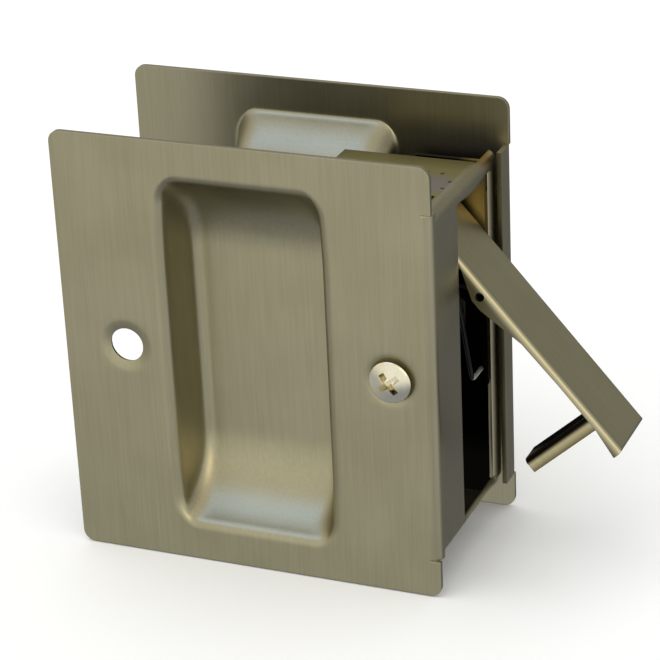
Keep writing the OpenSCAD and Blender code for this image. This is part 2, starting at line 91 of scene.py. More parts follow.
def add_camera():
    data = bpy.data.cameras.new("camera")
    data.lens = LENS_MM
    data.clip_start = NEAREST_SEEN
    data.clip_end = FURTHEST_SEEN
    camera = bpy.data.objects.new("camera", data)
    bpy.context.scene.collection.objects.link(camera)
    aim = Vector((
        -math.sin(CAMERA_TURN) * math.cos(CAMERA_TILT),
        math.cos(CAMERA_TURN) * math.cos(CAMERA_TILT),
        -math.sin(CAMERA_TILT),
    ))
    camera.rotation_mode = "QUATERNION"
    lean = Matrix.Rotation(-CAMERA_ROLL, 4, "Z").to_quaternion()
    camera.rotation_quaternion = aim.to_track_quat("-Z", "Y") @ lean
    camera.location = Vector(CAMERA_PLACE_MM) * MM
    bpy.context.scene.camera = camera
    return camera


camera = add_camera()
print("camera at", tuple(round(value, 3) for value in camera.location))

# %% [markdown]
# ## Floor
#
# The lock stands on the lower edges of its plates, on a pale matt floor. A large plane is enough for
# that. Mirror rays pass through it, because the metal gets a room of its own to show.

# %% Floor
FLOOR_GAP_MM = 0.2
FLOOR_SIZE = 12.0
FLOOR_ROUGHNESS = 0.7
FLOOR_SHINE = 0.1
FLOOR_Z = cad_box[0].z - FLOOR_GAP_MM * MM


def linear(code):
    """Turns an sRGB hex colour into the linear one that Blender's sockets take."""
    values = [int(code[i:i + 2], 16) / 255 for i in (1, 3, 5)]
    turned = [value / 12.92 if value <= 0.04045 else ((value + 0.055) / 1.055) ** 2.4 for value in values]
    return (*turned, 1.0)


def deselect():
    bpy.ops.object.select_all(action="DESELECT")


def new_material(name):
    material = bpy.data.materials.new(name)
    material.use_nodes = True
    return material, material.node_tree.nodes["Principled BSDF"]


deselect()
bpy.ops.mesh.primitive_plane_add(size=FLOOR_SIZE, location=(0, 0, FLOOR_Z))
floor = bpy.context.object
floor.name = "floor"
floor.visible_glossy = False
floor_paint, floor_shader = new_material("pale_floor")
floor_shader.inputs["Base Color"].default_value = linear("#F6F6F4")
floor_shader.inputs["Roughness"].default_value = FLOOR_ROUGHNESS
floor_shader.inputs["Specular IOR Level"].default_value = FLOOR_SHINE
floor.data.materials.append(floor_paint)
print("floor at", round(FLOOR_Z / MM, 2), "mm")

# %% [markdown]
# ## The room that the metal shows
#
# Metal shows what stands round it, so the room matters more than the paint. Cards and lamps could
# stand round the lock, but they would light the floor as well. So we paint a studio on the sky by
# direction, and only mirror rays see it: the background stays white.
#
# A node tree holds the sky, and others will hold the metals. One helper adds a node to any of them,
# with its settings and the wires that lead into it.

# %% Node helper and an empty room


def add_node(owner, kind, links=(), **settings):
    """Adds a node. A setting is one of its own, or the value of an input: From_Min is "From Min"."""
    node = owner.node_tree.nodes.new(kind)
    for name, value in settings.items():
        if hasattr(node, name):
            setattr(node, name, value)
        else:
            node.inputs[name.replace("_", " ")].default_value = value
    for source, socket, target in links:
        owner.node_tree.links.new(source.outputs[socket], node.inputs[target])
    return node


room = bpy.data.worlds.new("room")
bpy.context.scene.world = room
room.use_nodes = True
sky = room.node_tree.nodes["Background"]
heading = add_node(room, "ShaderNodeTexCoord")
print("room has", len(room.node_tree.nodes), "nodes to start with")

# %% [markdown]
# We start from a plain grey and lay the parts over it one by one. There is a dim wall behind, darker
# low down and lighter high up, with a dark gap in it on the left. The right side and the front are
# bright, the floor is shaded, a cool window stands high in front, and a warm card hangs beside it.
# Each part is strongest along its own direction and fades out round it.

# %% Paint the room
ROOM_COLOUR = "#BABABA"
BACKGROUND_COLOUR = "#FFFFFF"
# The sockets of a Mix node that mixes colours
MIX_FACTOR = 0
MIX_A = 6
MIX_B = 7
MIX_RESULT = 2
# Each part: its direction, the cosines where it starts to show and is full, its colour and strength
ROOM_PARTS = (
    ("back_wall", (0.6, 0.75, -0.1), (0.45, 0.85), "#D8DAE0", 0.45),
    ("back_low", (0.3, 0.8, -0.6), (0.7, 0.98), "#D8DAE0", 0.3),
    ("right_side", (0.8, -0.5, -0.3), (0.5, 0.95), "#FCFCFF", 1.17),
    ("upper_front", (-0.3, -0.6, 0.75), (0.3, 0.8), "#FFFAF0", 1.0),
    ("front_card", (0.1, -0.9, -0.1), (0.6, 0.95), "#FCFCF8", 1.12),
    ("floor_shade", (0.2, -0.2, -0.95), (0.38, 0.85), "#D4D8E4", 0.5),
    ("window", (-0.36, -0.38, 0.85), (0.92, 0.99), "#C2D6FF", 2.3),
    ("high_card", (0.48, -0.8, 0.35), (0.93, 0.99), "#FFF2D8", 2.6),
    ("back_high", (0.45, 0.84, 0.31), (0.9, 0.98), "#DCDCD0", 0.52),
    ("dark_gap", (-0.48, 0.84, -0.27), (0.9, 0.98), "#080808", 1.0),
)

paint = add_node(room, "ShaderNodeRGB")
paint.outputs[0].default_value = linear(ROOM_COLOUR)
paint_socket = 0
for part, direction, (outer, inner), colour, strength in ROOM_PARTS:
    facing = add_node(room, "ShaderNodeVectorMath", [(heading, "Generated", 0)], operation="DOT_PRODUCT",
                      label=part)
    facing.inputs[1].default_value = Vector(direction).normalized()
    spread = add_node(room, "ShaderNodeMapRange", [(facing, "Value", "Value")],
                      interpolation_type="SMOOTHSTEP", From_Min=outer, From_Max=inner)
    mix = add_node(room, "ShaderNodeMix", [(spread, "Result", MIX_FACTOR), (paint, paint_socket, MIX_A)],
                   data_type="RGBA")
    mix.inputs[MIX_B].default_value = tuple(strength * value for value in linear(colour)[:3]) + (1.0,)
    paint = mix
    paint_socket = MIX_RESULT
rays = add_node(room, "ShaderNodeLightPath")
plain_or_room = add_node(room, "ShaderNodeMix", [(rays, "Is Glossy Ray", MIX_FACTOR),
                                                 (paint, paint_socket, MIX_B)], data_type="RGBA")
plain_or_room.inputs[MIX_A].default_value = linear(BACKGROUND_COLOUR)
room.node_tree.links.new(plain_or_room.outputs[MIX_RESULT], sky.inputs["Color"])
sky.inputs["Strength"].default_value = 1.0
print("room parts", len(ROOM_PARTS))

# %% [markdown]
# ## The lamp
#
# Under a white sky alone the lock would hardly cast a shadow. A large soft lamp over it gives a faint
# one on the floor. The metal doesn't show the lamp, since it has its room. The plain view transform
# keeps the colours as they are mixed.

# %% Lamp over the floor
LAMP_PLACE = (-0.25, -0.3, 0.9)
LAMP_SIDE = 0.9
LAMP_POWER = 3.0

lamp = bpy.data.lights.new("overhead", "AREA")
lamp.shape = "RECTANGLE"
lamp.size = LAMP_SIDE
lamp.size_y = LAMP_SIDE
lamp.energy = LAMP_POWER
overhead = bpy.data.objects.new("overhead", lamp)
bpy.context.scene.collection.objects.link(overhead)
overhead.location = LAMP_PLACE
overhead.rotation_mode = "QUATERNION"
overhead.rotation_quaternion = (-Vector(LAMP_PLACE)).to_track_quat("-Z", "Y")
overhead.visible_glossy = False
bpy.context.scene.view_settings.view_transform = "Standard"
print("lamp of", LAMP_POWER, "W at", LAMP_PLACE)

# %% [markdown]
# ## Brushed nickel
#
# The plates are mild steel, plated with nickel and brushed upright with a belt. That gives the eye a
# soft glow with fine straight streaks, and a faint yellow tone. We stretch a noise along the belt's
# way for the streaks, and let it change the roughness, the colour and the height a little. A second,
# broad noise makes the tone cloudy. A real belt leaves marks of about 0.05 mm: ours are drawn wider,
# so that they show in the picture.

# %% Brushed metal
STREAK_MM = 0.35
# A streak is this many times as long as it is wide
STREAK_LENGTH = 40
STREAK_DETAIL = 3.0
STREAK_HEIGHT_MM = 0.0015
CLOUD_MM = 14
CLOUD_DETAIL = 2.0
# The two number inputs of a Mix node
MIX_NUMBER_A = 2
MIX_NUMBER_B = 3
# Noise gathers round a half, so the tone changes between these two values
TONE_FROM = 0.35
TONE_TO = 0.65
# The roughness goes this far up and down with the noise
GLOSS_CHANGE = 0.06


def wire(material, source, socket, shader, target):
    material.node_tree.links.new(source.outputs[socket], shader.inputs[target])


def brushed_metal(name, dark, light, roughness, lean=0.0, height_mm=STREAK_HEIGHT_MM):
    """A plated metal between two colours. Its streaks run upright, or lean with the piece."""
    material, shader = new_material(name)
    shader.inputs["Metallic"].default_value = 1.0
    place = add_node(material, "ShaderNodeTexCoord")
    turned = add_node(material, "ShaderNodeMapping", [(place, "Object", "Vector")], Rotation=(0, lean, 0))
    stretched = add_node(material, "ShaderNodeMapping", [(turned, "Vector", "Vector")],
                         Scale=(1, 1, 1 / STREAK_LENGTH))
    streaks = add_node(material, "ShaderNodeTexNoise", [(stretched, "Vector", "Vector")],
                       Scale=1 / (STREAK_MM * MM), Detail=STREAK_DETAIL)
    clouds = add_node(material, "ShaderNodeTexNoise", [(place, "Object", "Vector")],
                      Scale=1 / (CLOUD_MM * MM), Detail=CLOUD_DETAIL)
    both = add_node(material, "ShaderNodeMix", [(streaks, "Fac", MIX_NUMBER_A),
                                                (clouds, "Fac", MIX_NUMBER_B)], data_type="FLOAT")
    both.inputs[MIX_FACTOR].default_value = 0.5
    tone = add_node(material, "ShaderNodeValToRGB", [(both, 0, "Fac")])
    for stop, position, colour in zip(tone.color_ramp.elements, (TONE_FROM, TONE_TO), (dark, light)):
        stop.position = position
        stop.color = linear(colour)
    wire(material, tone, "Color", shader, "Base Color")
    gloss = add_node(material, "ShaderNodeMapRange", [(both, 0, "Value")],
                     To_Min=roughness - GLOSS_CHANGE, To_Max=roughness + GLOSS_CHANGE)
    wire(material, gloss, "Result", shader, "Roughness")
    bump = add_node(material, "ShaderNodeBump", [(streaks, "Fac", "Height")], Strength=1.0,
                    Distance=height_mm * MM)
    wire(material, bump, "Normal", shader, "Normal")
    return material


satin_nickel = brushed_metal("satin_nickel_brushed", "#9E987C", "#AAA488", 0.36)
print("brushed", satin_nickel.name, "with", len(satin_nickel.node_tree.nodes), "nodes")

# %% [markdown]
# The same recipe makes the other metals of the lock, from the very smooth screw to the dull side of
# the sheet. Only the two colours, the roughness and the height of the streaks change. The pull stands
# open, so the streaks on it and on its blade lean with it.

# %% The other finishes
OPEN_ANGLE = math.radians(41.5)
SMOOTH_HEIGHT_MM = 0.0004
# The pull is brushed along its length, and its nickel is a little finer than the plates'
pull_nickel = brushed_metal("satin_nickel_pull", "#A29C80", "#ACA68A", 0.34, lean=OPEN_ANGLE)
# The blade is hardly brushed: a thin bright coat that throws a streak of light
blade_nickel = brushed_metal("thin_nickel_on_blade", "#B4AA84", "#C2B892", 0.2, lean=OPEN_ANGLE)
# The top flange has a thin coat too, yellowed by the heat of the welds
flange_nickel = brushed_metal("thin_nickel_on_flange", "#968E5C", "#9E9664", 0.38)
# The side of the sheet that the belt never meets is dull and brown; the same colour is painted shade on the
# rear lip's sheared end
sheet_back_and_seam_shade = brushed_metal("unpolished_back_and_seam_shade", "#5A5542", "#6E6751", 0.5)
# The inner side of the rear plate is brushed where it shows, and gets painted shade behind the slot further
# on
rear_inside = brushed_metal("satin_nickel_inside", "#99947B", "#A5A087", 0.36)
# Yellow zinc on the bracket gives a dull tan, with painted shade added further on
yellow_zinc = brushed_metal("yellow_zinc_plate", "#8A7A50", "#A08C58", 0.42)
# Clear zinc on the pins, the rivet and the posts gives an even light grey
bright_zinc = brushed_metal("bright_zinc_plate", "#9C9C98", "#A8A8A4", 0.3)
# The screw is tumbled and plated, almost a mirror, and paler than the sheet
bright_nickel = brushed_metal("bright_nickel_plate", "#DCD6BE", "#E8E2CC", 0.16, height_mm=SMOOTH_HEIGHT_MM)
# Spring steel is dark with oil. A pale colour on the spring's hooked tip is a painted glint
spring_steel = brushed_metal("oiled_spring_steel", "#2C2C2E", "#3C3C3E", 0.35)
spring_glint_paint = brushed_metal("painted_spring_glint", "#E8E8D8", "#F4F4E6", 0.6)
print("materials", len(bpy.data.materials))

# %% [markdown]
# ## Painted shade in the pockets
#
# Little light reaches the deep pocket behind the slot, so we paint its shade into the colour. The
# bracket and the rear plate behind the slot turn dark, and the blade and the pull's sides turn darker
# away from their brushed faces, as painted shade too. Loose black panels inside would do for one view
# only. We fade the colour by its place on the lock, and it holds from every side.

# %% Painted shade in the pockets
UPWARD = (0, 0, 1)
DOWNWARD = (0, 0, -1)
RIGHTWARD = (1, 0, 0)
INWARD = (-1, 0, 0)
UP_AND_INWARD = (-0.75, 0, 0.66)
BLADE_DOWN = Vector((math.sin(OPEN_ANGLE), 0, -math.cos(OPEN_ANGLE)))
PULL_BACKWARD = (-math.cos(OPEN_ANGLE), 0, -math.sin(OPEN_ANGLE))
PULL_FACE_MM = 11.8
# A limit is a direction, and how far along it from the origin the painted shade starts and is full, in mm
BRACKET_SHADE_BELOW = (DOWNWARD, -15, -9)
BRACKET_SHADE_BEHIND = (INWARD, 2, 6)
REAR_SHADE_LIMITS = (
    (RIGHTWARD, -18, -12),
    (INWARD, 1.2, 2.6),
    (DOWNWARD, -31, -27),
    (UPWARD, -39.6, -38),
    (UP_AND_INWARD, -22.2, -21.4),
)
BLADE_LOWER_SHADE = (BLADE_DOWN, 23.0, 24.8)
BLADE_TOP_SHADE = (-BLADE_DOWN, -23.1, -22.3)
PULL_SIDE_SHADE = (PULL_BACKWARD, 0.9 - PULL_FACE_MM, 2.0 - PULL_FACE_MM)


def cover(material, amount, colour):
    """Lays a colour over a metal's own, where the amount says."""
    shader = material.node_tree.nodes["Principled BSDF"]
    own = shader.inputs["Base Color"].links[0].from_socket
    mix = add_node(material, "ShaderNodeMix", [(amount, 0, MIX_FACTOR)], data_type="RGBA")
    mix.inputs[MIX_B].default_value = linear(colour)
    material.node_tree.links.new(own, mix.inputs[MIX_A])
    wire(material, mix, MIX_RESULT, shader, "Base Color")


def paint_pocket_shade(material, limits, colour):
    """Paints shade on a metal where it lies past every one of the limits."""
    place = add_node(material, "ShaderNodeTexCoord")
    total = None
    for along, first_mm, last_mm in limits:
        depth = add_node(material, "ShaderNodeVectorMath", [(place, "Object", 0)], operation="DOT_PRODUCT")
        depth.inputs[1].default_value = along
        step = add_node(material, "ShaderNodeMapRange", [(depth, "Value", "Value")],
                        interpolation_type="SMOOTHSTEP", From_Min=first_mm * MM, From_Max=last_mm * MM)
        if total:
            total = add_node(material, "ShaderNodeMath", [(total, 0, 0), (step, 0, 1)], operation="MULTIPLY")
        else:
            total = step
    cover(material, total, colour)


# Painted shade on the bracket, on the rear plate behind the slot, on the blade and on the pull's sides
paint_pocket_shade(yellow_zinc, [BRACKET_SHADE_BELOW], "#100E0A")
paint_pocket_shade(yellow_zinc, [BRACKET_SHADE_BEHIND], "#15120C")
paint_pocket_shade(rear_inside, REAR_SHADE_LIMITS, "#0C0B09")
paint_pocket_shade(blade_nickel, [BLADE_LOWER_SHADE], "#665C3E")
paint_pocket_shade(blade_nickel, [BLADE_TOP_SHADE], "#1C1812")
paint_pocket_shade(pull_nickel, [PULL_SIDE_SHADE], "#6E6850")
print("rear patch has", len(REAR_SHADE_LIMITS), "limits")

# %% [markdown]
# ## Weld marks
#
# The bracket is spot welded to the top flange after plating. The heat has left a grey patch with a
# few dark specks on the flange, and a tan mark on the bend. Each mark is a round spot whose edge a
# noise makes ragged, laid over the metal's colour.

# %% Weld marks
CASE_TOP = 31.5
RAGGED_MM = 1.5
PATCH_MIDDLE = (-5.0, -4.0, CASE_TOP)
PATCH_R = 4.0
PATCH_SOFT = 2.5
SPECKS = ((-7.7, 1.2), (-4.9, 1.05), (-2.4, -2.3), (-2.6, -5.5))
SPECK_R = 0.35
SPECK_SOFT = 0.3
HEAT_MIDDLE = (-2.5, 10.4, CASE_TOP)
HEAT_R = 3.0
HEAT_SOFT = 2.6


def mark_spot(material, middle_mm, radius_mm, soft_mm, colour):
    """Lays a round mark over a metal, with a ragged edge that fades over soft_mm."""
    place = add_node(material, "ShaderNodeTexCoord")
    rough = add_node(material, "ShaderNodeTexNoise", [(place, "Object", "Vector")],
                     Scale=1 / (RAGGED_MM * MM))
    shifted = add_node(material, "ShaderNodeVectorMath", [(rough, "Color", 0), (place, "Object", 2)],
                       operation="MULTIPLY_ADD")
    shifted.inputs[1].default_value = (soft_mm * MM, soft_mm * MM, soft_mm * MM)
    reach = add_node(material, "ShaderNodeVectorMath", [(shifted, 0, 0)], operation="DISTANCE")
    reach.inputs[1].default_value = [(value + soft_mm / 2) * MM for value in middle_mm]
    amount = add_node(material, "ShaderNodeMapRange", [(reach, "Value", "Value")],
                      interpolation_type="SMOOTHSTEP", From_Min=(radius_mm + soft_mm / 2) * MM,
                      From_Max=(radius_mm - soft_mm / 2) * MM)
    cover(material, amount, colour)


mark_spot(flange_nickel, PATCH_MIDDLE, PATCH_R, PATCH_SOFT, "#989086")
for across, back in SPECKS:
    mark_spot(flange_nickel, (across, back, CASE_TOP), SPECK_R, SPECK_SOFT, "#3A3022")
mark_spot(satin_nickel, HEAT_MIDDLE, HEAT_R, HEAT_SOFT, "#9A8052")
print("marks on the flange", 1 + len(SPECKS))

# %% [markdown]
# ## The two pressed plates
#
# Each plate is one steel sheet, 0.85 mm thick, that a press pushes into a die. We do the same: a flat
# grid is the blank, with its lines close together where the metal bends most. Then each point is
# pushed in by the depth that the die has there. A cup cut from blocks would have sharp creases where
# its long walls meet the curved ends, and a pressed sheet has none. We work in millimetres here, and
# shrink each sheet to metres when it is done.

# %% Sizes of the plates and the cup, in millimetres
SHEET = 0.85
PLATE_W = 69.85
HALF_H = 40.0
PLATE_CORNER = 2.1
FRONT_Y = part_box("rear_plate")[1].y / -MM
CUP_X = -34.8
CUP_DEPTH = 9.3
# The steepest that a wall stands, and half of the mouth's width and height
CUP_DRAFT = math.radians(79)
CUP_LIP_X = 16.55
CUP_LIP_Z = 34.03
# Radii of the lip, of a long wall's foot, of an end's sweep and of the mouth's corners
CUP_LIP_R = 2.0
CUP_FOOT_R = 2.2
CUP_END_R = 16.0
CUP_CORNER_R = 5.6
# The long walls bow in towards the ends by this much, from this height on, and their feet get rounder
CUP_BOW = 0.7
CUP_BOW_START = 18.0
CUP_BOWL = 5.0
print("front face at", round(FRONT_Y, 2), "mm")

# %% [markdown]
# The die's depth is the same sum for a long wall and for an end: a round lip, a straight wall where
# there is room for one, and a round foot. An end has a large foot, which makes the sweep that a
# finger slides down. The side walls use the end's depth as their floor, so the two flow together.

# %% The press
SHALLOWEST = 0.001  # less than this is flat


def dent(inward, drop, foot_r):
    """Depth of a wall that far in from its lip: a round lip, a straight wall and a round foot."""
    if inward <= 0 or drop < SHALLOWEST:
        return 0.0
    turn = min(CUP_DRAFT, math.acos(max(-1.0, 1 - drop / (CUP_LIP_R + foot_r))))
    wall = max(0.0, (drop - (CUP_LIP_R + foot_r) * (1 - math.cos(turn))) / math.sin(turn))
    if inward < CUP_LIP_R * math.sin(turn):
        return CUP_LIP_R - math.sqrt(CUP_LIP_R ** 2 - inward ** 2)
    inward -= CUP_LIP_R * math.sin(turn)
    if inward < wall * math.cos(turn):
        return CUP_LIP_R * (1 - math.cos(turn)) + inward * math.tan(turn)
    inward -= wall * math.cos(turn)
    left = foot_r * math.sin(turn) - inward
    if left > 0:
        return drop - foot_r + math.sqrt(foot_r ** 2 - left ** 2)
    return drop


def cup_depth_at(x, z):
    """Depth of the die at that place on the plate."""
    across = abs(x - CUP_X)
    along = abs(z)
    floor_depth = dent(CUP_LIP_Z - along, CUP_DEPTH, CUP_END_R)
    into_corner = max(0.0, along - (CUP_LIP_Z - CUP_CORNER_R))
    if into_corner >= CUP_CORNER_R:
        return 0.0
    rounding = CUP_CORNER_R - math.sqrt(CUP_CORNER_R ** 2 - into_corner ** 2)
    bow = CUP_BOW * max(0.0, (along - CUP_BOW_START) / (CUP_LIP_Z - CUP_BOW_START)) ** 2
    foot_r = CUP_FOOT_R + bow / CUP_BOW * CUP_BOWL
    return dent(CUP_LIP_X - rounding - bow - across, floor_depth, foot_r)


print("cup depth", round(cup_depth_at(CUP_X, 0), 2), "mm in its middle and",
      round(cup_depth_at(CUP_X, CUP_LIP_Z - CUP_CORNER_R), 2), "mm near its end")

# %% [markdown]
# An even grid fine enough for the bends would have more than ten times the faces. So we say where
# the lines run: far apart on the flat, close together on the lip, the walls and the sweep.

# %% Grid lines and the blank
# Distances from the cup's middle, across and along it
CUP_ACROSS = (0, 2, 4, 6, 8, 9.5, 10.6, 11.2, 11.7, 12.1, 12.4, 12.7, 12.95, 13.2, 13.4, 13.6, 13.8, 14.0,
              14.2, 14.4, 14.6, 14.8, 15.0, 15.2, 15.45, 15.7, 15.95, 16.25, 16.55, 16.9)
CUP_ALONG = (10, 12.5, 15, 17, 18.3, 20, 21.5, 23, 24.2, 25.4, 26.4, 27.3, 28.1, 28.8, 29.5, 30, 30.4, 30.8,
             31.1, 31.5, 31.8, 32.1, 32.4, 32.7, 33.1, 33.4, 33.7, 34.03, 34.4)
# Distances from a screw hole's middle, and from the plate's edges
HOLE_RINGS = (0, 0.8, 1.6, 2.4, 3.1, 3.25, 3.5, 3.9, 4.3, 4.7, 5.0, 5.5, 6.0)
CORNER_LINES = (0, 0.2, 0.5, 0.9, 1.5, 2.1)
CLOSEST_LINES = 0.06


def both_ways(middle, steps):
    return [middle + side * step for side in (-1, 1) for step in steps]


def tidy_lines(*groups):
    """Sorts the lines and drops any that lie on top of another."""
    lines = sorted(value for group in groups for value in group)
    kept = [lines[0]]
    for value in lines[1:]:
        if value - kept[-1] > CLOSEST_LINES:
            kept.append(value)
    return kept


def blank(name, x_lines, z_lines):
    """A flat sheet that faces the front, with its grid moved to the given lines."""
    deselect()
    columns = len(x_lines) - 1
    rows = len(z_lines) - 1
    bpy.ops.mesh.primitive_grid_add(x_subdivisions=columns, y_subdivisions=rows, size=1)
    sheet = bpy.context.object
    sheet.name = name
    for point in sheet.data.vertices:
        column = round((point.co.x + 0.5) * columns)
        row = round((point.co.y + 0.5) * rows)
        point.co = (x_lines[column], FRONT_Y, z_lines[row])
    return sheet


print("closest lines in the cup", round(min(b - a for a, b in zip(CUP_ACROSS, CUP_ACROSS[1:])), 2), "mm")

# %% [markdown]
# ### Front sheet
#
# The front sheet is the plate, the bend round the door's edge, the edge face with its slot, and two
# flanges, all in one. It has two dimpled screw holes, and the dimples let the screw heads sink in.
# Its blank gets lines for all of them.

# %% Blank of the front sheet
SCREW_PLACES = (-8.0, -58.0)
SCREW_Z = 0.75
CASE_BOTTOM = -33.1
SLOT_TOP = 28.3
SLOT_BOTTOM = -31.8
BEND_R = 2.0
MARGIN_LINES = (36.2, -36.2)

front_x = tidy_lines(both_ways(CUP_X, CUP_ACROSS), both_ways(SCREW_PLACES[0], HOLE_RINGS),
                     both_ways(SCREW_PLACES[1], HOLE_RINGS), [-PLATE_W + step for step in CORNER_LINES],
                     [-step for step in CORNER_LINES])
front_z = tidy_lines(both_ways(0, CUP_ALONG), both_ways(SCREW_Z, HOLE_RINGS),
                     both_ways(0, [HALF_H - step for step in CORNER_LINES]), MARGIN_LINES,
                     [CASE_TOP, CASE_BOTTOM, SLOT_TOP, SLOT_BOTTOM, CASE_TOP - BEND_R, CASE_BOTTOM + BEND_R])
front_sheet = blank("front_sheet", front_x, front_z)
print("front blank", len(front_x), "by", len(front_z), "lines")

# %% [markdown]
# A square grid can't give a round hole. So the lines near a hole are drawn into rings round it, and
# the innermost rings sink to make the dimple. The four corners of the plate are drawn in to quarter
# circles in the same way, and then the cup is pressed.

# %% Dimples, corners and cup of the front sheet
HOLE_R = 3.1
DIMPLE_R = 5.0
RING_END = 6.0
DIMPLE_DEPTH = 0.45
DIMPLE_CURVE = 1.4


def ring_round_holes(sheet):
    for point in sheet.data.vertices:
        for hole_x in SCREW_PLACES:
            across = point.co.x - hole_x
            along = point.co.z - SCREW_Z
            reach = max(abs(across), abs(along))
            if 0 < reach < RING_END:
                keep = min(1.0, (RING_END - reach) / (RING_END - DIMPLE_R))
                circle = reach / math.hypot(across, along)
                scale = 1 + keep * (circle - 1)
                point.co.x = hole_x + across * scale
                point.co.z = SCREW_Z + along * scale
                sunk = min(1.0, max(0.0, (DIMPLE_R - reach) / (DIMPLE_R - HOLE_R)))
                point.co.y += DIMPLE_DEPTH * sunk ** DIMPLE_CURVE


def round_corners(sheet, left, right):
    """Draws the four square corners of a blank in to a quarter circle."""
    for point in sheet.data.vertices:
        for edge_x, way in ((left, -1), (right, 1)):
            # Both run from 0 at the inner sides of the corner's square to 1 at the plate's edges
            out_x = 1 - way * (edge_x - point.co.x) / PLATE_CORNER
            out_z = 1 - (HALF_H - abs(point.co.z)) / PLATE_CORNER
            if out_x > 0 and out_z > 0:
                side = math.copysign(1, point.co.z)
                point.co.x = edge_x - way * PLATE_CORNER * (1 - out_x * math.sqrt(1 - out_z * out_z / 2))
                point.co.z = side * (HALF_H - PLATE_CORNER * (1 - out_z * math.sqrt(1 - out_x * out_x / 2)))
                break


def press_cup(sheet):
    for point in sheet.data.vertices:
        point.co.y += cup_depth_at(point.co.x, point.co.z)


ring_round_holes(front_sheet)
round_corners(front_sheet, -PLATE_W, 0.0)
press_cup(front_sheet)
print("cup reaches back to", round(max(point.co.y for point in front_sheet.data.vertices), 2), "mm")

# %% [markdown]
# The screw holes are punched through the dimples. The strip between the top and the bottom of the
# case is to be bent back round the door's edge, so we cut the blank away there too. One helper opens
# a piece in edit mode with the wanted parts selected by their place, as a hand would pick them.

# %% Pick parts by place, and cut
NEAR_MM = 0.01


def pick(piece, test, kind="FACE"):
    """Opens a piece in edit mode with only those faces or edges selected whose middle passes."""
    deselect()
    bpy.context.view_layer.objects.active = piece
    piece.select_set(True)
    bpy.ops.object.mode_set(mode="EDIT")
    bpy.ops.mesh.select_mode(type=kind)
    bpy.ops.mesh.select_all(action="DESELECT")
    bpy.ops.object.mode_set(mode="OBJECT")
    mesh = piece.data
    parts = mesh.edges if kind == "EDGE" else mesh.polygons
    count = 0
    for part in parts:
        middle = sum((mesh.vertices[i].co for i in part.vertices), Vector()) / len(part.vertices)
        part.select = test(middle)
        count += part.select
    bpy.ops.object.mode_set(mode="EDIT")
    return count


def close_edit():
    bpy.ops.object.mode_set(mode="OBJECT")


def cut_away(piece, test):
    count = pick(piece, test)
    bpy.ops.mesh.delete(type="FACE")
    close_edit()
    return count


def near(value, target, slack=NEAR_MM):
    return abs(value - target) < slack


def in_screw_hole(place):
    return any(math.hypot(place.x - x, place.z - SCREW_Z) < HOLE_R for x in SCREW_PLACES)


punched = cut_away(front_sheet, in_screw_hole)
strip = cut_away(front_sheet, lambda m: m.x > -BEND_R and CASE_BOTTOM < m.z < CASE_TOP)
print("faces punched out", punched, "and cut from the strip", strip)

# %% [markdown]
# A bending brake turns the strip through a right angle. We spin the cut edge through a quarter turn
# and then draw it on, line by line, to make the edge face. Its lines run where the slot and the
# flanges will need them.

# %% Bend and edge face
BEND_STEPS = 8
EDGE_REACH = 32.9
SLOT_LOW = FRONT_Y + 14.2
SLOT_HIGH = FRONT_Y + 29.9
# Where the side bends start, and where the flanges start and end
FLANGE_START = FRONT_Y + 2.3
FLANGE_CUT = FRONT_Y + 9.2
FLANGE_END = FRONT_Y + 26.0
EDGE_END = FRONT_Y + EDGE_REACH
# Distances from the slot's edges, and lines that only keep the faces short
ROLL_STEPS = (2.4, 2.0, 1.6, 1.2, 0.8, 0.4, 0)
SPARE_LINES = (FRONT_Y + 5, FRONT_Y + 10.8, SLOT_LOW + 3.6, SLOT_LOW + 7.3)
edge_lines = tidy_lines([FLANGE_START, FLANGE_CUT, FLANGE_END, EDGE_END], SPARE_LINES,
                        [SLOT_LOW - step for step in ROLL_STEPS], [SLOT_HIGH + step for step in ROLL_STEPS])

pick(front_sheet, lambda m: near(m.x, -BEND_R) and CASE_BOTTOM < m.z < CASE_TOP, "EDGE")
bpy.ops.mesh.spin(steps=BEND_STEPS, angle=-math.pi / 2, center=(-BEND_R, FRONT_Y + BEND_R, 0), axis=(0, 0, 1))
last_y = FRONT_Y + BEND_R
for line in edge_lines:
    bpy.ops.mesh.extrude_region_move(TRANSFORM_OT_translate={"value": (0, line - last_y, 0)})
    last_y = line
close_edit()
print("edge face reaches", round(max(point.co.y for point in front_sheet.data.vertices), 2), "mm back")

# %% [markdown]
# The top and the bottom of the edge face are bent in too, and end in flanges. We cut the face back to
# where each bend starts and spin the new edge, as before. The flanges are shorter than the bends, so
# only a part of the bent edge is drawn on, and the bends are trimmed behind them.

# %% Flanges
FLANGE_L = 25.5
# The bend ends in a short straight strip, and the flange goes on from it
STRIP_X = -2.5
FLANGE_STEPS = 6
FLANGE_STEP = -(FLANGE_L + STRIP_X) / FLANGE_STEPS
TRIM_X = -0.7 * BEND_R


def on_edge_face(place):
    return near(place.x, 0) and place.y > FLANGE_START


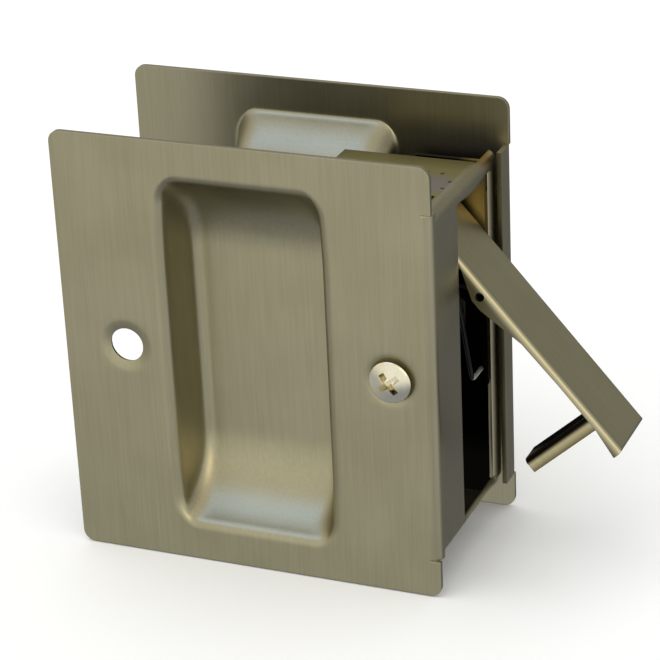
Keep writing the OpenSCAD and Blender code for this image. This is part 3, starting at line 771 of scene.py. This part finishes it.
cut_away(front_sheet, lambda m: on_edge_face(m) and not CASE_BOTTOM + BEND_R < m.z < CASE_TOP - BEND_R)
for side, bend_z in ((1, CASE_TOP - BEND_R), (-1, CASE_BOTTOM + BEND_R)):
    flange_z = bend_z + side * BEND_R
    pick(front_sheet, lambda m: near(m.z, bend_z) and near(m.x, 0) and m.y > FLANGE_START, "EDGE")
    bpy.ops.mesh.spin(steps=BEND_STEPS, angle=side * math.pi / 2, center=(-BEND_R, 0, bend_z), axis=(0, 1, 0))
    bpy.ops.mesh.extrude_region_move(TRANSFORM_OT_translate={"value": (STRIP_X + BEND_R, 0, 0)})
    close_edit()
    pick(front_sheet, lambda m: near(m.z, flange_z) and near(m.x, STRIP_X) and FLANGE_CUT < m.y < FLANGE_END,
         "EDGE")
    for step in range(FLANGE_STEPS):
        bpy.ops.mesh.extrude_region_move(TRANSFORM_OT_translate={"value": (FLANGE_STEP, 0, 0)})
    close_edit()
trimmed = cut_away(front_sheet, lambda m: m.y > FLANGE_END and m.x < TRIM_X)
print("flanges from", CASE_BOTTOM, "to", CASE_TOP, "mm, faces trimmed", trimmed)

# %% [markdown]
# The slot is punched in the edge face, and its lower end cuts a little into the bottom bend. Its long
# edges are rolled in a little, so that the pull doesn't catch on them. A bevel would round only the
# corner of the sheet, so we push the lines beside the slot in along a circle instead.

# %% Slot and its rolled edges
# The slot cuts the bottom bend down to this height, and only what lies near the edge face
SLOT_IN_BEND = -31.88
SLOT_SKIN_X = -0.3
ROLL_R = 5.0
ROLL_W = ROLL_STEPS[0]
ROLL_PAST_END = 0.1


def roll_in(depth):
    return ROLL_R - math.sqrt(ROLL_R ** 2 - depth ** 2)


opened = cut_away(front_sheet, lambda m: m.x > SLOT_SKIN_X and SLOT_LOW < m.y < SLOT_HIGH
                  and SLOT_IN_BEND < m.z < SLOT_TOP)
for point in front_sheet.data.vertices:
    if on_edge_face(point.co) and SLOT_BOTTOM - ROLL_PAST_END < point.co.z < SLOT_TOP + ROLL_PAST_END:
        from_low = point.co.y - (SLOT_LOW - ROLL_W)
        from_high = SLOT_HIGH + ROLL_W - point.co.y
        for depth in (from_low, from_high):
            if 0 < depth <= ROLL_W + NEAR_MM:
                point.co.x -= roll_in(depth)
print("slot opened by", opened, "faces, rolled in", round(roll_in(ROLL_W), 2), "mm")

# %% [markdown]
# So far the sheet has no thickness. A Solidify modifier gives it one behind its outer face, and a
# narrow bevel eases the sheared edges. The back keeps the dull finish, and the flange has its own.

# %% Thickness and finish of the front sheet
EDGE_SOFTNESS = 0.14
EDGE_SEGMENTS = 2
EDGE_ANGLE = math.radians(60)
SMOOTH_ANGLE = math.radians(35)
MERGE_MM = 0.005
FACING_UP = 0.9
SURFACE_SLACK = 0.05
THIRD_FINISH = 2


def thicken(sheet):
    """Gives the sheet its thickness behind the face that looks forward, and eases its edges."""
    pick(sheet, lambda m: True)
    bpy.ops.mesh.remove_doubles(threshold=MERGE_MM)
    bpy.ops.mesh.normals_make_consistent(inside=False)
    close_edit()
    highest = max(sheet.data.polygons, key=lambda face: face.center.z)
    if highest.normal.y > 0:
        pick(sheet, lambda m: True)
        bpy.ops.mesh.flip_normals()
        close_edit()
    wall = sheet.modifiers.new("wall", "SOLIDIFY")
    wall.thickness = SHEET
    wall.offset = -1
    wall.use_even_offset = True
    wall.material_offset = 1
    bpy.ops.object.modifier_apply(modifier=wall.name)
    ease = sheet.modifiers.new("ease", "BEVEL")
    ease.width = EDGE_SOFTNESS
    ease.segments = EDGE_SEGMENTS
    ease.limit_method = "ANGLE"
    ease.angle_limit = EDGE_ANGLE
    bpy.ops.object.modifier_apply(modifier=ease.name)


def shrink_to_metres(piece):
    pick(piece, lambda m: True)
    bpy.ops.transform.resize(value=(MM, MM, MM), center_override=(0, 0, 0))
    close_edit()
    bpy.ops.object.shade_smooth_by_angle(angle=SMOOTH_ANGLE)


for finish in (satin_nickel, sheet_back_and_seam_shade):
    front_sheet.data.materials.append(finish)
thicken(front_sheet)
front_sheet.data.materials.append(flange_nickel)
for face in front_sheet.data.polygons:
    on_flange = near(face.center.z, CASE_TOP, SURFACE_SLACK) and face.center.x < -BEND_R
    if on_flange and face.normal.z > FACING_UP:
        face.material_index = THIRD_FINISH
shrink_to_metres(front_sheet)
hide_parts("front_case")
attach(front_sheet, "case")
print("front sheet", len(front_sheet.data.polygons), "faces")

# %% [markdown]
# ### Rear sheet
#
# The rear sheet comes from the same press. It is a little larger, has no holes, and ends in a lip
# that covers the seam on the door's edge. We could turn a copy of the front sheet round, but its
# lines run elsewhere. So we press a new blank that faces the front, and then mirror it.

# %% Rear sheet
REAR_LEFT = -70.7
REAR_RIGHT = 1.5
LIP_R = 1.0
LIP_DEPTH = 5.2
REAR_SPARE_X = (-65, -58, -12, -4)
REAR_SPARE_Z = (0, 5, -5)

rear_x = tidy_lines(both_ways(CUP_X, CUP_ACROSS), [REAR_LEFT + step for step in CORNER_LINES],
                    [REAR_RIGHT - step for step in CORNER_LINES], [REAR_RIGHT - LIP_R], REAR_SPARE_X)
rear_z = tidy_lines(both_ways(0, CUP_ALONG), both_ways(0, [HALF_H - step for step in CORNER_LINES]),
                    REAR_SPARE_Z, MARGIN_LINES, [CASE_TOP, CASE_BOTTOM])
rear_sheet = blank("rear_sheet", rear_x, rear_z)
round_corners(rear_sheet, REAR_LEFT, REAR_RIGHT)
press_cup(rear_sheet)
cut_away(rear_sheet, lambda m: m.x > REAR_RIGHT - LIP_R and CASE_BOTTOM < m.z < CASE_TOP)
pick(rear_sheet, lambda m: near(m.x, REAR_RIGHT - LIP_R) and CASE_BOTTOM < m.z < CASE_TOP, "EDGE")
bpy.ops.mesh.spin(steps=BEND_STEPS, angle=-math.pi / 2, center=(REAR_RIGHT - LIP_R, FRONT_Y + LIP_R, 0),
                  axis=(0, 0, 1))
bpy.ops.mesh.extrude_region_move(TRANSFORM_OT_translate={"value": (0, LIP_DEPTH - LIP_R, 0)})
close_edit()
print("rear blank", len(rear_x), "by", len(rear_z), "lines, lip", LIP_DEPTH, "mm deep")

# %% [markdown]
# A mirrored mesh is inside out, so its normals are made consistent again. The lip's end is a sheared
# edge, and it gets the dull colour of the sheet's back as painted shade, for the dark seam beside the
# edge face.

# %% Thickness and finish of the rear sheet
for finish in (satin_nickel, rear_inside, sheet_back_and_seam_shade):
    rear_sheet.data.materials.append(finish)
thicken(rear_sheet)
pick(rear_sheet, lambda m: True)
bpy.ops.transform.resize(value=(1, -1, 1), center_override=(0, 0, 0))
bpy.ops.mesh.normals_make_consistent(inside=False)
close_edit()
# The lip's end gets the dull colour: painted shade in the seam
for face in rear_sheet.data.polygons:
    if near(face.center.y, -FRONT_Y - LIP_DEPTH, SURFACE_SLACK) and face.center.x > REAR_RIGHT - SHEET:
        face.material_index = THIRD_FINISH
shrink_to_metres(rear_sheet)
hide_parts("rear_plate")
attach(rear_sheet, "case")
print("rear sheet", len(rear_sheet.data.polygons), "faces")

# %% [markdown]
# ### The screw
#
# The screw has an oval head, so that it lies in its dimple and still stands proud, with a cross for
# the driver. It is turned from bar, so we build it as a stack of rings, from its tip to the middle of
# its head. A helix would be truer for the thread, but it is hidden between the plates, and rings look
# the same from the side.

# %% Screw with its thread and head
RING_POINTS = 64
HEAD_Y = -18.85
HEAD_R = 3.78
HEAD_RISE = 1.0
# The rim's rings, from back to front: how much wider than the head, and how much deeper than HEAD_Y
RIM_STEPS = ((-0.1, 0.1), (0, 0), (0, -0.12), (-0.06, -0.2), (-0.2, -0.28))
RIM_RISE = 0.28
DOME_STEPS = 9
UNDER_HEAD = 2.4
NECK_R = 1.7
THREAD_R = 1.95
CORE_R = 1.5
THREAD_PITCH = 0.8
TIP_R = 1.1
TIP_Y = 16.6
TIP_EASE = 0.4  # length of the cone at the tip, and of the one before the neck
THREAD_END_Y = 2.0


def turned_part(name, middle, rings):
    """Stacks rings along the depth: each is a radius and how far back it lies."""
    deselect()
    last_r, last_y = rings[0]
    bpy.ops.mesh.primitive_circle_add(vertices=RING_POINTS, radius=last_r, fill_type="NGON",
                                      location=(middle[0], last_y, middle[1]), rotation=(math.pi / 2, 0, 0))
    turned = bpy.context.object
    turned.name = name
    bpy.ops.object.transform_apply(location=True, rotation=True, scale=True)
    bpy.ops.object.mode_set(mode="EDIT")
    for ring_r, ring_y in rings[1:]:
        bpy.ops.mesh.extrude_region_move(TRANSFORM_OT_translate={"value": (0, ring_y - last_y, 0)})
        grow = ring_r / last_r
        bpy.ops.transform.resize(value=(grow, 1, grow), center_override=(middle[0], ring_y, middle[1]))
        last_r = ring_r
        last_y = ring_y
    bpy.ops.mesh.select_all(action="SELECT")
    bpy.ops.mesh.normals_make_consistent(inside=False)
    close_edit()
    return turned


rings = [(TIP_R, TIP_Y), (CORE_R, TIP_Y - TIP_EASE)]
turn_y = TIP_Y - TIP_EASE
while turn_y > THREAD_END_Y:
    rings += [(THREAD_R, turn_y - THREAD_PITCH / 2), (CORE_R, turn_y - THREAD_PITCH)]
    turn_y -= THREAD_PITCH
rings += [(NECK_R, turn_y - TIP_EASE), (NECK_R, HEAD_Y + UNDER_HEAD)]
rings += [(HEAD_R + wider, HEAD_Y + deeper) for wider, deeper in RIM_STEPS]
dome_r, dome_y = rings[-1]
for step in range(1, DOME_STEPS):
    share = step / DOME_STEPS
    rings.append((dome_r * (1 - share), dome_y - (HEAD_RISE - RIM_RISE) * (1 - (1 - share) ** 2)))
screw = turned_part("oval_screw", (SCREW_PLACES[0], SCREW_Z), rings)
print("screw rings", len(rings))

# %% [markdown]
# The driver's cross is struck into the head with a punch, so its walls slope. We make two bars that
# narrow towards their inner end and cut them out of the head. The screw is plated bright, and it is
# smoother than the brushed sheet.

# %% Cross for the driver
CROSS_ARM = 4.7
CROSS_WIDTH = 1.15
CROSS_DEPTH = 1.9
CROSS_PROUD = 0.15
CROSS_TURN = math.radians(53)
CROSS_TAPER = (0.6, 1, 0.7)


def cross_bar(turn):
    deselect()
    bpy.ops.mesh.primitive_cube_add(size=1, location=(0, 0, 0))
    bar = bpy.context.object
    bar.scale = (CROSS_ARM, CROSS_DEPTH, CROSS_WIDTH)
    bpy.ops.object.transform_apply(location=True, rotation=True, scale=True)
    pick(bar, lambda m: m.y > CROSS_DEPTH / 2 - NEAR_MM)
    bpy.ops.transform.resize(value=CROSS_TAPER)
    close_edit()
    middle_y = HEAD_Y - HEAD_RISE + CROSS_DEPTH / 2 - CROSS_PROUD
    middle = Matrix.Translation((SCREW_PLACES[0], middle_y, SCREW_Z))
    bar.matrix_world = middle @ Matrix.Rotation(turn, 4, "Y")
    bpy.ops.object.transform_apply(location=True, rotation=True, scale=True)
    return bar


for turn in (CROSS_TURN, CROSS_TURN + math.pi / 2):
    bar = cross_bar(turn)
    cut = screw.modifiers.new("cross", "BOOLEAN")
    cut.operation = "DIFFERENCE"
    cut.object = bar
    deselect()
    bpy.context.view_layer.objects.active = screw
    screw.select_set(True)
    bpy.ops.object.modifier_apply(modifier=cut.name)
    bpy.data.objects.remove(bar)
screw.data.materials.append(bright_nickel)
shrink_to_metres(screw)
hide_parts("case_screw")
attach(screw, "case")
print("screw faces", len(screw.data.polygons))

# %% [markdown]
# ### The spring
#
# The spring is coiled round the pin. One leg pushes the pull, and the other hooks into the bracket.
# The model holds its wire as separate facets, so we take a copy and join them. The wire is dark with
# oil, and its hooked tip is painted pale: a painted glint.

# %% Spring
JOIN_MM = 0.002
WIRE_SPLIT = math.radians(40)
# The painted glint lies below this height and further back than this depth
TIP_BELOW_Z = -8.2
TIP_BEHIND_Y = 5.9

deselect()
spring = nodes["pull_spring"].copy()
spring.data = nodes["pull_spring"].data.copy()
spring.name = "coil_spring"
bpy.context.scene.collection.objects.link(spring)
spring.parent = None
spring.matrix_world = nodes["pull_spring"].matrix_world
pick(spring, lambda m: True)
bpy.ops.mesh.remove_doubles(threshold=JOIN_MM * MM)
close_edit()
bpy.ops.object.shade_smooth_by_angle(angle=WIRE_SPLIT)
spring.data.materials.clear()
for finish in (spring_steel, spring_glint_paint):
    spring.data.materials.append(finish)
# The hooked tip gets the pale colour: a painted glint
for face in spring.data.polygons:
    if face.center.z < TIP_BELOW_Z * MM and face.center.y > TIP_BEHIND_Y * MM:
        face.material_index = 1
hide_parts("pull_spring")
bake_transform(spring)
print("spring faces", len(spring.data.polygons))

# %% [markdown]
# ### The other pieces
#
# The bracket, the pull, its blade, the pins, the clips, the rivet and the posts keep the shapes that
# the model gives them. They could be copied and reworked as the spring was, but they don't need it.
# Each gets its finish. Two modifiers join its loose triangles and split them at the sharp edges, so
# that the round faces look smooth.

# %% Dress the CAD pieces
SHARP_ANGLE = math.radians(28)
FINISHES = {
    "edge_pull": pull_nickel,
    "catch_blade": blade_nickel,
    "pivot_bracket": yellow_zinc,
    "pivot_pin": bright_zinc,
    "pin_clip": spring_steel,
    "catch_clip": spring_steel,
    "catch_rivet": bright_zinc,
    "edge_side_post": bright_zinc,
    "far_side_post": bright_zinc,
}


def soften(piece):
    """Joins a CAD node's loose triangles and shades them smooth, split where the faces meet sharply."""
    weld = piece.modifiers.new("join", "WELD")
    weld.merge_threshold = JOIN_MM * MM
    split = piece.modifiers.new("split", "EDGE_SPLIT")
    split.split_angle = SHARP_ANGLE
    for face in piece.data.polygons:
        face.use_smooth = True


for name, finish in FINISHES.items():
    node = nodes[name]
    node.data.materials.clear()
    node.data.materials.append(finish)
    soften(node)
print("dressed", ", ".join(FINISHES))
